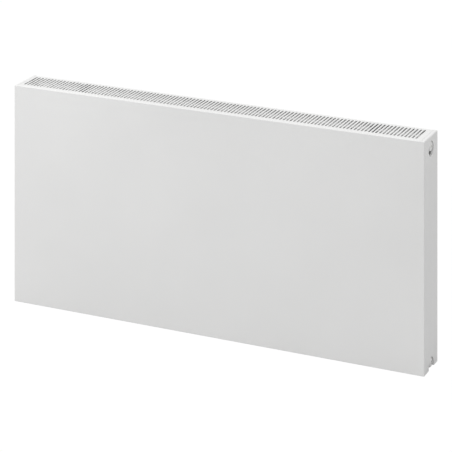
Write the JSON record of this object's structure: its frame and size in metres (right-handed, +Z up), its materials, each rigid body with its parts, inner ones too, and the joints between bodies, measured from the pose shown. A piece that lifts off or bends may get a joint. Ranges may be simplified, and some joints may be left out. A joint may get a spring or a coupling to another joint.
{
  "type": "panel radiator",
  "caption": "Flat-front steel panel radiator with water panels, convectors, slotted top grille, side covers, air vent and wall-bracket lugs.",
  "frame": {"origin": "bottom centre of the casing's box", "axes": "+X along the length to the vented end, +Y from the room side to the wall side, +Z up"},
  "size_m": [1.2, 0.106, 0.6],
  "materials": {
    "white_lacquer": "satin white powder coat with a faint orange peel",
    "nickel_plating": "bright nickel plating",
    "spring_steel": "bare spring steel",
    "white_plastic": "moulded, semi-gloss",
    "black_rubber": "matte moulded rubber",
    "adhesive": "matte elastic adhesive"
  },
  "bodies": {
    "radiator": {"front_plate": "white_lacquer", "adhesive_strips": "adhesive", "front_panel_outer_sheet": "white_lacquer", "front_panel_inner_sheet": "white_lacquer", "rear_panel_inner_sheet": "white_lacquer", "rear_panel_outer_sheet": "white_lacquer", "front_convector": "white_lacquer", "rear_convector": "white_lacquer", "port_tee_top_left": "white_lacquer", "port_tee_bottom_left": "white_lacquer", "port_tee_top_right": "white_lacquer", "port_tee_bottom_right": "white_lacquer", "hanging_lugs": "white_lacquer", "blanking_plug": "white_lacquer", "blanking_plug_seal": "black_rubber", "vent_plug": "white_lacquer", "vent_plug_seal": "black_rubber"},
    "grille": {"top_grille": "white_lacquer", "grille_clips": "spring_steel"},
    "left_cover": {"left_side_cover": "white_lacquer", "left_cover_clips": "spring_steel"},
    "right_cover": {"right_side_cover": "white_lacquer", "right_cover_clips": "spring_steel"},
    "nozzle": {"vent_nozzle": "white_plastic"},
    "spindle": {"vent_spindle": "nickel_plating", "vent_spindle_seal": "black_rubber"}
  },
  "joints": [
    {"name": "grille_lift", "type": "slide", "parent": "radiator", "child": "grille", "axis": [0, 0, 1], "range_m": [0, 0.06]},
    {"name": "left_cover_pull", "type": "slide", "parent": "radiator", "child": "left_cover", "axis": [-1, 0, 0], "range_m": [0, 0.05]},
    {"name": "right_cover_pull", "type": "slide", "parent": "radiator", "child": "right_cover", "axis": [1, 0, 0], "range_m": [0, 0.05]},
    {"name": "vent_nozzle_turn", "type": "hinge", "parent": "radiator", "child": "nozzle", "pos_m": [0.597, 0.004, 0.572], "axis": [1, 0, 0], "continuous": true},
    {"name": "vent_spindle_turn", "type": "hinge", "parent": "radiator", "child": "spindle", "pos_m": [0.594, 0.004, 0.572], "axis": [1, 0, 0], "range_deg": [0, 360]}
  ]
}
